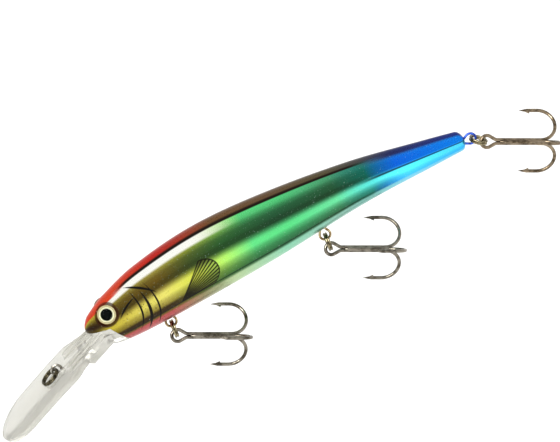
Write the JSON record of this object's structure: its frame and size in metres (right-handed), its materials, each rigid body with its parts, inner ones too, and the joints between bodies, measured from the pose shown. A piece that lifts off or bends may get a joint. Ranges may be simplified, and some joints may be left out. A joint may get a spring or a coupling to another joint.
{
  "type": "crankbait lure",
  "caption": "Deep-diving minnow crankbait: hollow two-shell body, clear diving lip, line tie with split ring, treble hooks on split rings and loose rattle balls.",
  "frame": {"origin": "centre of the wire line tie eye on the top face of the diving lip", "axes": "+X runs along the body axis from nose to tail, +Z points to the back, XZ is the parting plane; the lure's left side is -Y"},
  "size_m": [0.1754, 0.0204, 0.0441],
  "materials": {
    "body_foil": "metallised and painted, clear coated",
    "clear_lip": "clear polycarbonate",
    "hanger_wire": "bright wire",
    "painted_wire": "gloss paint",
    "ring_steel": "black nickel",
    "hook_steel": "bronzed nickel",
    "ballast_lead": "as cast",
    "rattle_steel": "polished",
    "eye_print": "printed film",
    "eye_lens": "clear resin"
  },
  "bodies": {
    "lure_body": {"body_left": "body_foil", "body_right": "body_foil", "diving_lip": "clear_lip", "line_tie_wire": "hanger_wire", "front_hook_hanger": "hanger_wire", "rear_hook_hanger": "hanger_wire", "tail_hook_hanger": "painted_wire", "ballast_front": "ballast_lead", "ballast_mid": "ballast_lead", "eye_foil_left": "eye_print", "eye_dome_left": "eye_lens", "eye_foil_right": "eye_print", "eye_dome_right": "eye_lens"},
    "line_ring": {"line_tie_ring": "ring_steel"},
    "front_ring": {"front_split_ring": "ring_steel"},
    "front_treble": {"front_treble_double": "hook_steel", "front_treble_single": "hook_steel"},
    "rear_ring": {"rear_split_ring": "ring_steel"},
    "rear_treble": {"rear_treble_double": "hook_steel", "rear_treble_single": "hook_steel"},
    "tail_ring": {"tail_split_ring": "ring_steel"},
    "tail_treble": {"tail_treble_double": "hook_steel", "tail_treble_single": "hook_steel"},
    "rattle_front": {"rattle_ball_front": "rattle_steel"},
    "rattle_mid": {"rattle_ball_mid": "rattle_steel"},
    "rattle_rear": {"rattle_ball_rear": "rattle_steel"}
  },
  "joints": [
    {"name": "line_ring_flip", "type": "hinge", "parent": "lure_body", "child": "line_ring", "pos_m": [0, 0, 0], "axis": [0, 1, 0], "range_deg": [0, 140]},
    {"name": "front_ring_sway", "type": "hinge", "parent": "lure_body", "child": "front_ring", "pos_m": [0.03421, 0, -0.00204], "axis": [0.9976, 0, -0.0698], "range_deg": [-30, 30]},
    {"name": "front_hook_swing", "type": "hinge", "parent": "front_ring", "child": "front_treble", "pos_m": [0.03388, 0, -0.00668], "axis": [0, 1, 0], "range_deg": [-18, 115]},
    {"name": "rear_ring_sway", "type": "hinge", "parent": "lure_body", "child": "rear_ring", "pos_m": [0.08281, 0, 0.00111], "axis": [0.9976, 0, -0.0698], "range_deg": [-30, 30]},
    {"name": "rear_hook_swing", "type": "hinge", "parent": "rear_ring", "child": "rear_treble", "pos_m": [0.08248, 0, -0.00353], "axis": [0, 1, 0], "range_deg": [-22, 115]},
    {"name": "tail_ring_sway", "type": "hinge", "parent": "lure_body", "child": "tail_ring", "pos_m": [0.13031, 0, 0.00785], "axis": [0.6293, 0, 0.7771], "range_deg": [-30, 30]},
    {"name": "tail_hook_swing", "type": "hinge", "parent": "tail_ring", "child": "tail_treble", "pos_m": [0.13392, 0, 0.00492], "axis": [0, 1, 0], "range_deg": [-100, 95]},
    {"name": "rattle_front_roll", "type": "slide", "parent": "lure_body", "child": "rattle_front", "axis": [1, 0, 0], "range_m": [-0.003, 0.003]},
    {"name": "rattle_mid_roll", "type": "slide", "parent": "lure_body", "child": "rattle_mid", "axis": [1, 0, 0], "range_m": [-0.003, 0.003]},
    {"name": "rattle_rear_roll", "type": "slide", "parent": "lure_body", "child": "rattle_rear", "axis": [1, 0, 0], "range_m": [-0.0042, 0.0042]}
  ]
}
